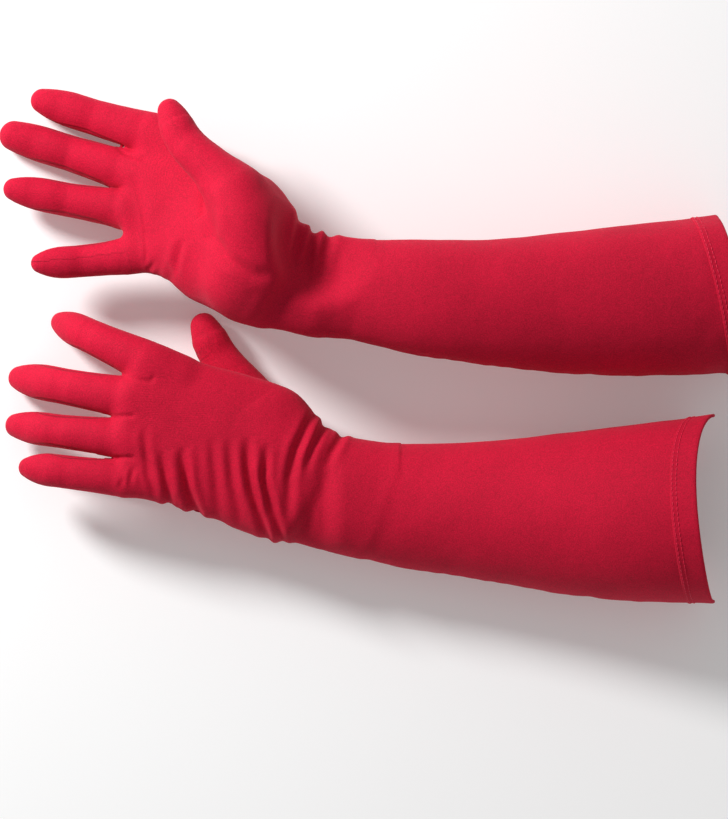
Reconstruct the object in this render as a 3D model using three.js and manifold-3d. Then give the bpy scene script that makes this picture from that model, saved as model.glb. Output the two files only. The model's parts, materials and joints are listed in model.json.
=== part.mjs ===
// Opera gloves: a pair of elbow-length gloves in stretch knit, holding the round shape of an arm.
// The right glove lies palm up with its wrist bent back, and the left one lies back up. Both have
// their fingers towards -X, their thumbs towards +Y and their open cuffs towards +X.
// Each bending place is its own fold of fabric, between two lengths that keep their shape.
// Millimetres, +Z up, with the surface that the pair lies on at z = 0.

import * as THREE from 'three';
import { mergeVertices } from 'three/addons/utils/BufferGeometryUtils.js';
import Module from 'manifold-3d';

const wasm = await Module();
wasm.setup();

// ---- driving dimensions, mm and degrees ------------------------------------------------------

const WALL = 1.2;
const HEM_WALL = 2;
const GAP = 0.3;
const HEM_WIDTH = 14.6;
const SEAM_WIDTH = 3;
const SEAM_THICKNESS = 1;
const SEAM_INSET = 0.6; // from the wall's gap to the edge of a seam allowance
const SEAM_DEPTH = WALL + GAP + SEAM_WIDTH / 2 + SEAM_INSET; // its middle, under the outside
const SLEEVE_SEAM_STEPS = 10;
const HAND_SEAM_STEPS = 6;
const KNIT_COLOR = 0xb01030;
const LINING_COLOR = 0x8a0c26;

const SLEEVE_SIDES = 24;
const FINGER_SIDES = 12;
const MOUND_SIDES = [14, 9];
const DOME_STEPS = 3;
const FINGER_FLATNESS = 0.92;
const ROOT_HINGE = 12; // from the finger's root to its first hinge
const ROOT_FOLD = 6.2; // half the length of the fold at a finger's root
const KNUCKLE_FOLD = 7.7; // the same at its middle knuckle
const THUMB_FOLD = 5; // the same at the thumb's root
const THUMB_KNUCKLE_FOLD = 5.6;
const FOLD_CLEARANCE = 0.6; // between a fold and the hand panels round it
const FINGER_STUB = 16; // how far a finger's stub is sunk into the palm
const THUMB_STUB = 24;
const FINGER_GROOVE = 20; // how far past its root a stall is kept clear of the panels
const THUMB_GROOVE = 60;
const THUMB_LENGTHS = [33, 28];
const THUMB_RADII = [12, 11, 9.3, 8.2];
const FOURCHETTE_HEIGHT = 9;
const FOURCHETTE_LENGTH = 26;
const FOURCHETTE_MARGIN = 7; // what the web leaves of the distance between two finger roots
const TIP_TAPER = 0.9;
const MOUTH_SHARE = 0.25; // how much of the mouth's shape the sleeve's last ring but one takes
const HOLLOW_RUN = 6; // how far the hand's hollow runs out through each open end
const WRIST_CREASE = 0.6; // how far the wrist fold's middle ring is from the hinge, of a straight one

// Lengths run from the root to the middle knuckle, and from there to the tip.
const FINGERS = {
  index: { lengths: [35, 35], radii: [10.7, 9.8] },
  middle: { lengths: [36, 41], radii: [9.9, 9.4] },
  ring: { lengths: [35, 36.5], radii: [9.7, 9.1] },
  little: { lengths: [31, 29.5], radii: [9.1, 8.3] },
};

// palm is +1 where the palm faces up and -1 where it faces down. Angles are in degrees: yaw turns
// towards the little finger and flex closes the hand. A sleeve station is x, the middle's y and z,
// half the width and half the height. A palm station is x and y in the hand, half the width, half
// the thickness, and how much of the slant of the finger roots it takes.
const GLOVES = [
  {
    name: 'right',
    palm: 1,
    wrist: [-43.7, 37.5, 70.2],
    handYaw: 148.2,
    handPitch: 24,
    sleeve: [
      [-29.4, 34.2, 68.4, 28.6, 22],
      [-12, 31.2, 66.4, 28.4, 23.5],
      [24.6, 26.9, 61.6, 32.5, 27],
      [63.8, 24.1, 56.4, 35.3, 30.5],
      [103, 24.1, 51, 39.2, 34],
      [142, 25.5, 45.6, 42.3, 37],
      [200.5, 29.2, 38, 44.6, 39.4],
    ],
    mouth: { slant: -10, bow: 4.5, skew: 0 },
    palmStations: [
      [14, 5.8, 31.8, 20.5, 0],
      [36, 2, 36, 18, 0],
      [66, -0.5, 38.6, 15.5, 0.25],
      [94, 1, 39, 13.5, 0.7],
      [118, 2.5, 37, 11.5, 1],
      [123, 2.5, 33, 7.5, 1],
    ],
    rootSlant: { curve: -0.013, peak: -13 },
    thenar: { middle: [42, -13, 8], radii: [31, 23, 20] },
    thumb: { hinge: [56.5, -25.2, 27], yaw: -10, rise: 7, tipYaw: -22, tipRise: -4 },
    roots: {
      index: { at: [123, -25.6], yaw: 14.5, flex: [9, 9] },
      middle: { at: [122.5, -1.9], yaw: 14.8, flex: [9, 8] },
      ring: { at: [111.5, 17.2], yaw: 22.4, flex: [11, 12] },
      little: { at: [91.5, 36], yaw: 38.5, flex: [10, 16] },
    },
  },
  {
    name: 'left',
    palm: -1,
    wrist: [-30.2, -80.1, 33.2],
    handYaw: 154.6,
    handPitch: -4,
    sleeve: [
      [-16, -84.2, 32.6, 31.4, 22.5],
      [2, -88, 29.5, 33.4, 25],
      [24.6, -90.4, 28, 35.6, 29],
      [63.8, -92.6, 31, 39.4, 33],
      [103, -93.8, 35.5, 44.8, 37.5],
      [142, -93.6, 40, 49.3, 42],
      [189.5, -91.2, 43.5, 52.7, 45.5],
    ],
    mouth: { slant: 0, bow: -10.5, skew: 0.4 },
    palmStations: [
      [14, 4.4, 34.4, 20.5, 0],
      [36, -0.5, 41, 17.5, 0],
      [66, 1.4, 41.6, 15, 0.25],
      [94, 5, 40.4, 13.5, 0.7],
      [121, 6, 38.5, 11.5, 1],
      [126, 6, 34.5, 7.5, 1],
    ],
    rootSlant: { curve: -0.0105, peak: -7 },
    thenar: { middle: [40, -14, 6], radii: [30, 24, 19] },
    thumb: { hinge: [53, -28, 25], yaw: -24.5, rise: 6, tipYaw: -8, tipRise: -2 },
    roots: {
      index: { at: [120.5, -22.2], yaw: 1, flex: [22, 31] },
      middle: { at: [121.5, 0.8], yaw: 15.6, flex: [19, 25] },
      ring: { at: [114.8, 22.9], yaw: 19, flex: [17, 22] },
      little: { at: [103.5, 42.2], yaw: 19.5, flex: [9, 13] },
    },
  },
];

// ---- solids -----------------------------------------------------------------------------------

const RADIANS = Math.PI / 180;

function solidOf(geometry) {
  const bare = geometry.clone();
  for (const name of ['normal', 'uv']) bare.deleteAttribute(name);
  const merged = mergeVertices(bare, 1e-4);
  return new wasm.Manifold(new wasm.Mesh({
    numProp: 3,
    vertProperties: new Float32Array(merged.attributes.position.array),
    triVerts: new Uint32Array(merged.index.array),
  }));
}

function geometryOf(solid) {
  const mesh = solid.getMesh();
  const geometry = new THREE.BufferGeometry();
  geometry.setAttribute('position', new THREE.BufferAttribute(new Float32Array(mesh.vertProperties), 3));
  geometry.setIndex(new THREE.BufferAttribute(new Uint32Array(mesh.triVerts), 1));
  geometry.computeVertexNormals();
  return geometry;
}

function placed(geometry, [x, y, z], yaw = 0, pitch = 0) {
  const turn = new THREE.Euler(0, pitch * RADIANS, yaw * RADIANS, 'ZYX');
  const matrix = new THREE.Matrix4().makeRotationFromEuler(turn).setPosition(x, y, z);
  return geometry.applyMatrix4(matrix);
}

// A turned solid with its axis along +X. The profile's points are [radius, distance along X].
function turned(profile, sides = FINGER_SIDES) {
  const points = profile.map(([radius, along]) => new THREE.Vector2(radius, along));
  return new THREE.LatheGeometry(points, sides).rotateZ(-Math.PI / 2);
}

function rod(radius, from, to) {
  return turned([[0, from], [radius, from], [radius, to], [0, to]]);
}

// A straight length of stall, open at both ends.
function openStall(from, to, radiusFrom, radiusTo) {
  const walls = [
    [radiusFrom - WALL, from],
    [radiusFrom, from],
    [radiusTo, to],
    [radiusTo - WALL, to],
    [radiusFrom - WALL, from],
  ];
  return turned(walls).scale(1, 1, FINGER_FLATNESS);
}

// The stall's last length, closed by a round tip.
function tipStall(from, length, radiusFrom, radiusTip) {
  const dome = (radius, end) => Array.from({ length: DOME_STEPS + 1 }, (_, i) => {
    const angle = (i / DOME_STEPS) * (Math.PI / 2);
    return [i === DOME_STEPS ? 0 : radius * Math.cos(angle), end - radius + radius * Math.sin(angle)];
  });
  const outer = [[radiusFrom, from], ...dome(radiusTip, length)];
  const inner = [[radiusFrom - WALL, from], ...dome(radiusTip - WALL, length - WALL)];
  return turned([...inner.reverse(), ...outer]).scale(1, 1, FINGER_FLATNESS);
}

// A fabric tube through rings, its outside first and then its inside. A ring has its middle, its two
// half sizes as vectors, and, where it needs one, how far along X each point of it is moved. No point
// goes below floor.
function ringedTube(rings, sides, wall, floor = -Infinity) {
  const last = rings.length - 1;
  const up = rings.map((_, i) => new THREE.Vector2(1, i));
  const down = rings.map((_, i) => new THREE.Vector2(0.5, last - i));
  const geometry = new THREE.LatheGeometry([...up, ...down, up[0]], sides);
  const position = geometry.attributes.position;
  const point = new THREE.Vector3();
  for (let i = 0; i < position.count; i += 1) {
    point.fromBufferAttribute(position, i);
    const ring = rings[Math.round(point.y)];
    const inset = Math.hypot(point.x, point.z) > 0.75 ? 0 : wall;
    const angle = Math.atan2(point.x, point.z);
    const across = ring.across.clone().setLength(ring.across.length() - inset);
    const upward = ring.upward.clone().setLength(ring.upward.length() - inset);
    point.copy(ring.middle);
    point.addScaledVector(across, Math.cos(angle)).addScaledVector(upward, Math.sin(angle));
    point.x += ring.shift ? ring.shift(angle) : 0;
    point.z = Math.max(point.z, floor + inset);
    position.setXYZ(i, point.x, point.y, point.z);
  }
  return geometry;
}

// A closed, tapering body of oval sections along +X, smaller all round by inset.
function ovalBody(stations, slant, sides, inset) {
  const last = stations.length - 1;
  const rim = stations.map((_, i) => new THREE.Vector2(1, i));
  const profile = [new THREE.Vector2(0, 0), ...rim, new THREE.Vector2(0, last)];
  const geometry = new THREE.LatheGeometry(profile, sides);
  const position = geometry.attributes.position;
  for (let i = 0; i < position.count; i += 1) {
    const [x, y, halfWidth, halfHeight, share] = stations[Math.round(position.getY(i))];
    const along = position.getY(i) < 0.5 ? inset : -inset;
    const sideways = y + position.getZ(i) * (halfWidth - inset);
    const lift = position.getX(i) * (halfHeight - inset);
    const pulled = share * slant.curve * (sideways - slant.peak) ** 2;
    position.setXYZ(i, x + along + pulled, sideways, lift);
  }
  return geometry;
}

// ---- the hand ---------------------------------------------------------------------------------

// The hand's outer body, or its hollow when inset is the wall: palm, thumb mound, and the short
// stubs that the stalls grow from. lengthen runs the hollow out through every open end.
function handBody(glove, inset, lengthen) {
  const { palm, palmStations, rootSlant, thenar, thumb, roots } = glove;
  const wrist = palmStations[0];
  const stations = [[wrist[0] - lengthen, ...wrist.slice(1)], ...palmStations.slice(1)];
  let body = solidOf(ovalBody(stations, rootSlant, SLEEVE_SIDES, inset));

  const [x, y, z] = thenar.middle;
  const radii = thenar.radii.map((radius) => radius - inset);
  const mound = new THREE.SphereGeometry(1, ...MOUND_SIDES).rotateX(Math.PI / 2).scale(...radii);
  const moundSolid = solidOf(placed(mound, [x, y, z * palm], thumb.yaw));
  const beyond = 2 * radii[0];
  const beyondWrist = new THREE.BoxGeometry(beyond, 2 * beyond, 2 * beyond)
    .translate(wrist[0] - beyond / 2 - lengthen, 0, 0);
  const [hx, hy, hz] = thumb.hinge;
  const alongThumb = (geometry) => solidOf(
    placed(geometry, [hx, hy, hz * palm], thumb.yaw, -palm * thumb.rise),
  );
  const groove = (stallRadius, stubEnd, length) => {
    const radius = stallRadius + FOLD_CLEARANCE + inset;
    return rod(radius, stubEnd - inset, length);
  };
  body = body.add(moundSolid.subtract(solidOf(beyondWrist)))
    .subtract(alongThumb(groove(THUMB_RADII[0], -THUMB_FOLD, THUMB_GROOVE)));

  const stubEnd = ROOT_HINGE - ROOT_FOLD;
  const alongFinger = (root, geometry) => solidOf(
    placed(geometry.scale(1, 1, FINGER_FLATNESS), [...root.at, 0], root.yaw, -palm * root.flex[0]),
  );
  for (const [finger, root] of Object.entries(roots)) {
    const clear = groove(FINGERS[finger].radii[0], stubEnd, FINGER_GROOVE);
    body = body.subtract(alongFinger(root, clear));
  }
  for (const [finger, root] of Object.entries(roots)) {
    const radius = FINGERS[finger].radii[0] - inset;
    body = body.add(alongFinger(root, rod(radius, -FINGER_STUB, stubEnd + lengthen)));
  }
  return body.add(alongThumb(rod(THUMB_RADII[0] - inset, -THUMB_STUB, lengthen - THUMB_FOLD)));
}

// The web between two neighbouring stalls, as a box that is grown by extra on every side.
function webBox(glove, a, b, extra) {
  const [ax, ay] = glove.roots[a].at;
  const [bx, by] = glove.roots[b].at;
  const yaw = (glove.roots[a].yaw + glove.roots[b].yaw) / 2;
  const width = Math.hypot(ax - bx, ay - by) - FOURCHETTE_MARGIN;
  const box = new THREE.BoxGeometry(
    FOURCHETTE_LENGTH + extra,
    width + extra,
    FOURCHETTE_HEIGHT + extra,
  );
  return solidOf(placed(box, [(ax + bx) / 2, (ay + by) / 2, 0], yaw));
}

const WEBS = [['index', 'middle'], ['middle', 'ring'], ['ring', 'little']];

function handPanels(glove) {
  const shell = handBody(glove, 0, 0).subtract(handBody(glove, WALL, HOLLOW_RUN));
  const reach = 2 * glove.palmStations.at(-1)[0];
  const half = (side) => solidOf(
    new THREE.BoxGeometry(2 * reach, 2 * reach, reach).translate(0, 0, side * (reach + GAP) / 2),
  );
  const panels = {
    palm_panel: shell.intersect(half(glove.palm)),
    back_panel: shell.intersect(half(-glove.palm)),
  };
  const pieces = {};
  for (const [a, b] of WEBS) {
    pieces[`fourchette_${a}_${b}`] = shell.intersect(webBox(glove, a, b, 0));
    for (const name of Object.keys(panels)) {
      panels[name] = panels[name].subtract(webBox(glove, a, b, 2 * GAP));
    }
  }
  return { ...panels, ...pieces };
}

// ---- assembly ---------------------------------------------------------------------------------

const pair = new THREE.Group();

function addMesh(parent, name, geometry, color = KNIT_COLOR) {
  const material = new THREE.MeshStandardMaterial({ color, roughness: 0.9, metalness: 0 });
  const mesh = new THREE.Mesh(geometry, material);
  mesh.name = name;
  parent.add(mesh);
  return mesh;
}

function addGroup(parent, [x, y, z], yaw = 0, pitch = 0) {
  const group = new THREE.Group();
  group.position.set(x, y, z);
  group.rotation.set(0, pitch * RADIANS, yaw * RADIANS, 'ZYX');
  parent.add(group);
  return group;
}

// A narrow strip that follows points, standing on its edge.
function strip(points, steps) {
  const section = new THREE.Shape();
  section.moveTo(-SEAM_THICKNESS / 2, -SEAM_WIDTH / 2);
  section.lineTo(SEAM_THICKNESS / 2, -SEAM_WIDTH / 2);
  section.lineTo(SEAM_THICKNESS / 2, SEAM_WIDTH / 2);
  section.lineTo(-SEAM_THICKNESS / 2, SEAM_WIDTH / 2);
  const path = new THREE.CatmullRomCurve3(points.map((point) => new THREE.Vector3(...point)));
  return new THREE.ExtrudeGeometry(section, { steps, extrudePath: path });
}

function addSleeve(parent, glove) {
  const { sleeve, mouth, wrist } = glove;
  const edge = (angle) => mouth.slant * Math.cos(angle)
    + mouth.bow * Math.abs(Math.sin(angle)) * (1 + mouth.skew * Math.cos(angle));
  const ring = ([x, y, z, halfWidth, halfHeight], share) => ({
    middle: new THREE.Vector3(x - wrist[0], y - wrist[1], z - wrist[2]),
    across: new THREE.Vector3(0, halfWidth, 0),
    upward: new THREE.Vector3(0, 0, halfHeight),
    shift: (angle) => share * edge(angle),
  });
  const end = sleeve.at(-1);
  const before = sleeve.at(-2);
  const alongBy = (distance) => {
    const t = (end[0] - distance - before[0]) / (end[0] - before[0]);
    return before.map((value, i) => value + t * (end[i] - value));
  };
  const floor = -wrist[2];
  const rings = sleeve.slice(0, -2).map((station) => ring(station, 0));
  rings.push(ring(before, MOUTH_SHARE));
  rings.push(ring(alongBy(HEM_WIDTH + GAP), 1));
  addMesh(parent, `${glove.name}_sleeve`, ringedTube(rings, SLEEVE_SIDES, WALL, floor));

  const hem = [ring(alongBy(HEM_WIDTH), 1), ring(end, 1)];
  addMesh(parent, `${glove.name}_cuff_hem`, ringedTube(hem, SLEEVE_SIDES, HEM_WALL, floor));

  const seam = sleeve.slice(0, -1).map(([x, y, z, halfWidth]) => [
    x - wrist[0],
    y - halfWidth + SEAM_DEPTH - wrist[1],
    z - wrist[2],
  ]);
  addMesh(parent, `${glove.name}_sleeve_seam`, strip(seam, SLEEVE_SEAM_STEPS), LINING_COLOR);
}

function addWristFold(parent, glove, hand) {
  const sleeveEnd = glove.sleeve[0];
  const palmEnd = glove.palmStations[0];
  const toHand = new THREE.Matrix4().makeRotationFromEuler(hand.rotation);
  const axes = [0, 1, 2].map((i) => new THREE.Vector3().setFromMatrixColumn(toHand, i));
  const start = new THREE.Vector3(sleeveEnd[0] - GAP, sleeveEnd[1], sleeveEnd[2])
    .sub(new THREE.Vector3(...glove.wrist));
  const finish = axes[0].clone().multiplyScalar(palmEnd[0] - GAP).addScaledVector(axes[1], palmEnd[1]);
  const rings = [0, 0.5, 1].map((t) => {
    const straight = start.clone().lerp(finish, t);
    const across = new THREE.Vector3(0, 1, 0).lerp(axes[1].clone().negate(), t).normalize();
    const upward = new THREE.Vector3(0, 0, 1).lerp(axes[2], t).normalize();
    return {
      middle: straight.multiplyScalar(t === 0.5 ? WRIST_CREASE : 1),
      across: across.multiplyScalar(THREE.MathUtils.lerp(sleeveEnd[3], palmEnd[2], t)),
      upward: upward.multiplyScalar(THREE.MathUtils.lerp(sleeveEnd[4], palmEnd[3], t)),
    };
  });
  rings.reverse();
  addMesh(parent, `${glove.name}_wrist_fold`, ringedTube(rings, SLEEVE_SIDES, WALL));
}

function addFinger(hand, glove, finger) {
  const { lengths, radii } = FINGERS[finger];
  const { at, yaw, flex } = glove.roots[finger];
  const name = `${glove.name}_${finger}`;
  const heading = new THREE.Vector3(ROOT_HINGE, 0, 0)
    .applyEuler(new THREE.Euler(0, -glove.palm * flex[0] * RADIANS, yaw * RADIANS, 'ZYX'));
  const hinge = [at[0] + heading.x, at[1] + heading.y, heading.z];
  const between = lengths[0] - ROOT_HINGE;
  const base = addGroup(hand, hinge, yaw, -glove.palm * flex[0]);
  base.name = `${name}_hinge`;
  addMesh(base, `${name}_root_fold`, openStall(-ROOT_FOLD + GAP, ROOT_FOLD - GAP, radii[0], radii[0]));
  addMesh(base, `${name}_base`, openStall(ROOT_FOLD, between - KNUCKLE_FOLD, ...radii));

  const tip = addGroup(base, [between, 0, 0], 0, -glove.palm * flex[1]);
  tip.name = `${name}_knuckle_hinge`;
  const turn = new THREE.Matrix4().makeRotationFromEuler(tip.rotation);
  const half = KNUCKLE_FOLD - GAP;
  const rings = [-half, 0, half].map((along) => {
    const t = (along + half) / (2 * half);
    const upward = new THREE.Vector3(0, 0, 1);
    const straight = new THREE.Vector3(along, 0, 0);
    if (along > 0) straight.applyMatrix4(turn);
    const bent = upward.clone().applyMatrix4(turn);
    return {
      middle: straight,
      across: new THREE.Vector3(0, radii[1], 0),
      upward: upward.lerp(bent, t).setLength(radii[1] * FINGER_FLATNESS),
    };
  });
  const knuckle = addGroup(base, [between, 0, 0]);
  addMesh(knuckle, `${name}_knuckle_fold`, ringedTube(rings, FINGER_SIDES, WALL));
  addMesh(tip, `${name}_tip`, tipStall(KNUCKLE_FOLD, lengths[1], radii[1], radii[1] - TIP_TAPER));
}

function addThumb(hand, glove) {
  const { hinge, yaw, rise, tipYaw, tipRise } = glove.thumb;
  const { palm, name } = glove;
  const [rootRadius, baseRadius, kneeRadius, tipRadius] = THUMB_RADII;
  const base = addGroup(hand, [hinge[0], hinge[1], hinge[2] * palm], yaw, -palm * rise);
  base.name = `${name}_thumb_hinge`;
  const fold = openStall(-THUMB_FOLD + GAP, THUMB_FOLD - GAP, rootRadius, baseRadius);
  addMesh(base, `${name}_thumb_root_fold`, fold);
  const baseEnd = THUMB_LENGTHS[0] - THUMB_KNUCKLE_FOLD;
  addMesh(base, `${name}_thumb_base`, openStall(THUMB_FOLD, baseEnd, baseRadius, kneeRadius));
  const tip = addGroup(base, [THUMB_LENGTHS[0], 0, 0], tipYaw, -palm * tipRise);
  tip.name = `${name}_thumb_knuckle_hinge`;
  const half = THUMB_KNUCKLE_FOLD - GAP;
  const turn = new THREE.Matrix4().makeRotationFromEuler(tip.rotation);
  const rings = [-half, 0, half].map((along) => {
    const t = (along + half) / (2 * half);
    const middle = new THREE.Vector3(along, 0, 0);
    if (along > 0) middle.applyMatrix4(turn);
    const across = new THREE.Vector3(0, 1, 0);
    const upward = new THREE.Vector3(0, 0, 1);
    return {
      middle,
      across: across.lerp(across.clone().applyMatrix4(turn), t).setLength(kneeRadius),
      upward: upward.lerp(upward.clone().applyMatrix4(turn), t).setLength(kneeRadius * FINGER_FLATNESS),
    };
  });
  const knuckle = addGroup(base, [THUMB_LENGTHS[0], 0, 0]);
  addMesh(knuckle, `${name}_thumb_knuckle_fold`, ringedTube(rings, FINGER_SIDES, WALL));
  addMesh(tip, `${name}_thumb_tip`, tipStall(THUMB_KNUCKLE_FOLD, THUMB_LENGTHS[1], kneeRadius, tipRadius));
}

function addHandSeam(hand, glove) {
  const points = glove.palmStations.slice(0, 4).map(([x, y, halfWidth, , share]) => {
    const edge = y + halfWidth - SEAM_DEPTH;
    const pulled = share * glove.rootSlant.curve * (edge - glove.rootSlant.peak) ** 2;
    return [x + pulled + SEAM_INSET, edge, 0];
  });
  addMesh(hand, `${glove.name}_hand_seam`, strip(points, HAND_SEAM_STEPS), LINING_COLOR);
}

for (const glove of GLOVES) {
  const arm = addGroup(pair, glove.wrist);
  arm.name = `${glove.name}_arm`;
  addSleeve(arm, glove);
  const hand = addGroup(arm, [0, 0, 0], glove.handYaw, glove.handPitch);
  hand.name = `${glove.name}_wrist_hinge`;
  addWristFold(arm, glove, hand);
  for (const [piece, solid] of Object.entries(handPanels(glove))) {
    addMesh(hand, `${glove.name}_${piece}`, geometryOf(solid));
  }
  addHandSeam(hand, glove);
  addThumb(hand, glove);
  for (const finger of Object.keys(FINGERS)) addFinger(hand, glove, finger);
}

// The origin is under the middle of the pair, on the surface that it lies on.
pair.updateMatrixWorld(true);
const bounds = new THREE.Box3().setFromObject(pair, true);
pair.position.set(-(bounds.min.x + bounds.max.x) / 2, -(bounds.min.y + bounds.max.y) / 2, -bounds.min.z);

export default pair;
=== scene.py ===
"""A pair of opera gloves in stretch knit: the visible model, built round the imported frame.

Each glove's skin is one smooth surface, worked out in millimetres from swept ovals and tapering
tubes, then cut into pieces where its joints bend. The frame and all objects are in metres.
"""

import json
import math

import bpy
import numpy as np
from mathutils import Vector
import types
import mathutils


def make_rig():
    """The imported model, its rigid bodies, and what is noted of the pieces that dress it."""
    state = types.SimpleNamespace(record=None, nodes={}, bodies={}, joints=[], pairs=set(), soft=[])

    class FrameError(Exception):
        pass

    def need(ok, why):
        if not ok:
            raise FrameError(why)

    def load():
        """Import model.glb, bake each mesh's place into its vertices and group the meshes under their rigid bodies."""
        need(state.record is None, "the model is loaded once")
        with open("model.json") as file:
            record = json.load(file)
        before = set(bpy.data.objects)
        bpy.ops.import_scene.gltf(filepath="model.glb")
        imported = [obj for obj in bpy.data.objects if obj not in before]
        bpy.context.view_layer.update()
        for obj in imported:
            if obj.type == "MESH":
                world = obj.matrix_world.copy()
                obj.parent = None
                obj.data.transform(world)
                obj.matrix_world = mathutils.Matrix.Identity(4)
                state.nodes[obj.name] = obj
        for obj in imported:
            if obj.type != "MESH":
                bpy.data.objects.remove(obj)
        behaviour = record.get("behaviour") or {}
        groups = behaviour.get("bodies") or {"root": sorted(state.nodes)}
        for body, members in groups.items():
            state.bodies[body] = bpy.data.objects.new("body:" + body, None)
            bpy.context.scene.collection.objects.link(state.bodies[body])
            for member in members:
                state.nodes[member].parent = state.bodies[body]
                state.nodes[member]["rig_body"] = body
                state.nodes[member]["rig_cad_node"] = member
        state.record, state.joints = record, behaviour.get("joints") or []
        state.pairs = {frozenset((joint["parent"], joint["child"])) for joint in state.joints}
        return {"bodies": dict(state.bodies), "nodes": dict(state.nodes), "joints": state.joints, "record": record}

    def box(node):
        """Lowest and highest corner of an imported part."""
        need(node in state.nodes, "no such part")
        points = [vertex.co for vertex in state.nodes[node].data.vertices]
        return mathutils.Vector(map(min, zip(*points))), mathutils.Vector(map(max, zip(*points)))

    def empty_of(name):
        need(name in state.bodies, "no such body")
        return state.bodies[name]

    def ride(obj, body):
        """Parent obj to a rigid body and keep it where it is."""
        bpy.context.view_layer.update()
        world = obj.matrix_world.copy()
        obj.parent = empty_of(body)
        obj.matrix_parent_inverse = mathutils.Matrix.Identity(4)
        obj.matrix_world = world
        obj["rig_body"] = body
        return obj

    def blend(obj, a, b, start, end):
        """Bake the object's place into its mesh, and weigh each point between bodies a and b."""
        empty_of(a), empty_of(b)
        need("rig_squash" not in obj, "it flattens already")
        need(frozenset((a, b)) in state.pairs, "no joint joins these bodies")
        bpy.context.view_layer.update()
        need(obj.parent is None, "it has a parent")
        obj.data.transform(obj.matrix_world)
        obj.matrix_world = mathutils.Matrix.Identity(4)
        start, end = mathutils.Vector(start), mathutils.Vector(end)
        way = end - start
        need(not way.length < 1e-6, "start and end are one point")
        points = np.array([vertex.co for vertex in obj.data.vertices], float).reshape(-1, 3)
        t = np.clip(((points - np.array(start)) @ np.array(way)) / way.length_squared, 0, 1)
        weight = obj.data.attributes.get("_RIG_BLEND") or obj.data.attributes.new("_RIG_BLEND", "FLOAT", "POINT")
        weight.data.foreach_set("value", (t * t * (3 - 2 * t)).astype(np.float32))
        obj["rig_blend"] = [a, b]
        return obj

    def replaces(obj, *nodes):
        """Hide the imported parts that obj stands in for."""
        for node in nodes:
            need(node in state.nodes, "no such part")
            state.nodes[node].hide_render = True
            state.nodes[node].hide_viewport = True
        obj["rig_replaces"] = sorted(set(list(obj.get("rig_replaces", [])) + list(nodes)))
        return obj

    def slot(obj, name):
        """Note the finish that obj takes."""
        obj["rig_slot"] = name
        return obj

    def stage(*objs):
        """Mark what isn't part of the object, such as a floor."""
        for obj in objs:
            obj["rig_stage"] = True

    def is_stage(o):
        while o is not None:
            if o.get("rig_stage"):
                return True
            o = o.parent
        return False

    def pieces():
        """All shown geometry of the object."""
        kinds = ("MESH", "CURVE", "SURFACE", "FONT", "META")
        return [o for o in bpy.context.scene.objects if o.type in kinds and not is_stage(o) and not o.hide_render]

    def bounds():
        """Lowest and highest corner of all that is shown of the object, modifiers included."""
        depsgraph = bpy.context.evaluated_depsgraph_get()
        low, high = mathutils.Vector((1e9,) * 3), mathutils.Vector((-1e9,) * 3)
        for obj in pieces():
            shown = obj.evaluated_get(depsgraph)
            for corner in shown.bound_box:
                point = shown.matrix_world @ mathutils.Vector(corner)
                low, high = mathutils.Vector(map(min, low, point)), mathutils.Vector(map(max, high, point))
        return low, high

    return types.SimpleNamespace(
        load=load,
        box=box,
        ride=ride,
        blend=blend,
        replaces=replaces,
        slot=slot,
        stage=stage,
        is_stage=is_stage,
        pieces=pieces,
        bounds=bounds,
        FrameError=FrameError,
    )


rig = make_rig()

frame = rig.load()
cad_box = [list(corner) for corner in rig.bounds()]

# ---- dimensions, millimetres and degrees ----

MM = 1000.0
STEP = 1.15  # spacing of the skin's mesh
BLOCK = 5  # grid steps in one coarse cell
CHUNK = 400000  # points whose distances are worked out at once
BAND = 7.5  # distance from the surface within which the fine grid is worked out
HAND_BAND = 13.0  # the same in the hand, where narrow gaps end inside thick fabric
SKIN = 0.7  # thickness of the knit
FLATNESS = 0.92  # a finger's height over its width
ROOT_HINGE = 12.0  # from a finger's root to its first hinge
ROOT_ZONE = (5.5, 20.5)  # where a finger's root bends, from the root
KNUCKLE_ZONE = 12.0  # half of what bends at a middle knuckle
CROTCH = (3.0, 12.0)  # where neighbouring fingers part, from their roots
CROTCH_DEPTH = 20.0  # more than a finger's radius, so that fingers are one before their crotch
FINGER_GAP = 2.1
TAPER_STEPS = 6  # rings in a finger's rounded end
TIP_TAPER = 19.0  # the length over which a finger's end narrows
THUMB_TAPER = 14.0
THUMB_ROOT = 8.0  # how far the thumb's tube starts before its hinge
STRETCH = {("right", "index"): 2.5, ("right", "middle"): 1.0}  # fabric standing beyond the solid tip
THUMB_ZONE = (-3.0, 14.0)  # where the thumb's root bends, from its hinge
THUMB_KNUCKLE_ZONE = 10.0
WRIST_ZONE = 21.0  # half of what bends at the wrist
WRIST_REACH = (32.0, 30.0)  # the wrist's length, from its hinge into the sleeve and into the hand
WRIST_INSET = 3.0  # how far the wrist's ends lie under the sleeve and the hand
CUT = 1.0  # what a piece keeps beyond the place where it bends
HEM_WIDTH = 14.6
HEM_OUT = 0.65  # the most that the hem stands off the skin
CLEARANCE = 0.05  # between the knit and the floor
FOURCHETTE_HALF = 4.4  # half the width of the strip between a finger's palm and its back
PUCKER = 0.75  # how far the fabric puckers along the side seam
PUCKER_REACH = 8.0
SEAM_DIP = 0.3  # depth of the groove along the side seam
SEAM_WIDTH = 1.3
RIPPLES = ((0.16, 14, 5), (0.07, 5, 8))  # height, spacing and seed of the fabric's unevenness
HEM_WAVE = (0.35, 11, 4)  # the same, close to the hem
HEM_WAVE_REACH = 12.0
KNIT_RADIUS = 38.0  # turns an angle round the sleeve into a length of knit
DENT = 0.6  # depth of the dents at the digits' joints
DENT_WIDTH = 5.0
SEAM_ALLOWANCE = 3.4  # width of the sewn edge inside a seam
ALLOWANCE_THICKNESS = 1.0
STITCH = 2.9  # from one hem stitch to the next
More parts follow.
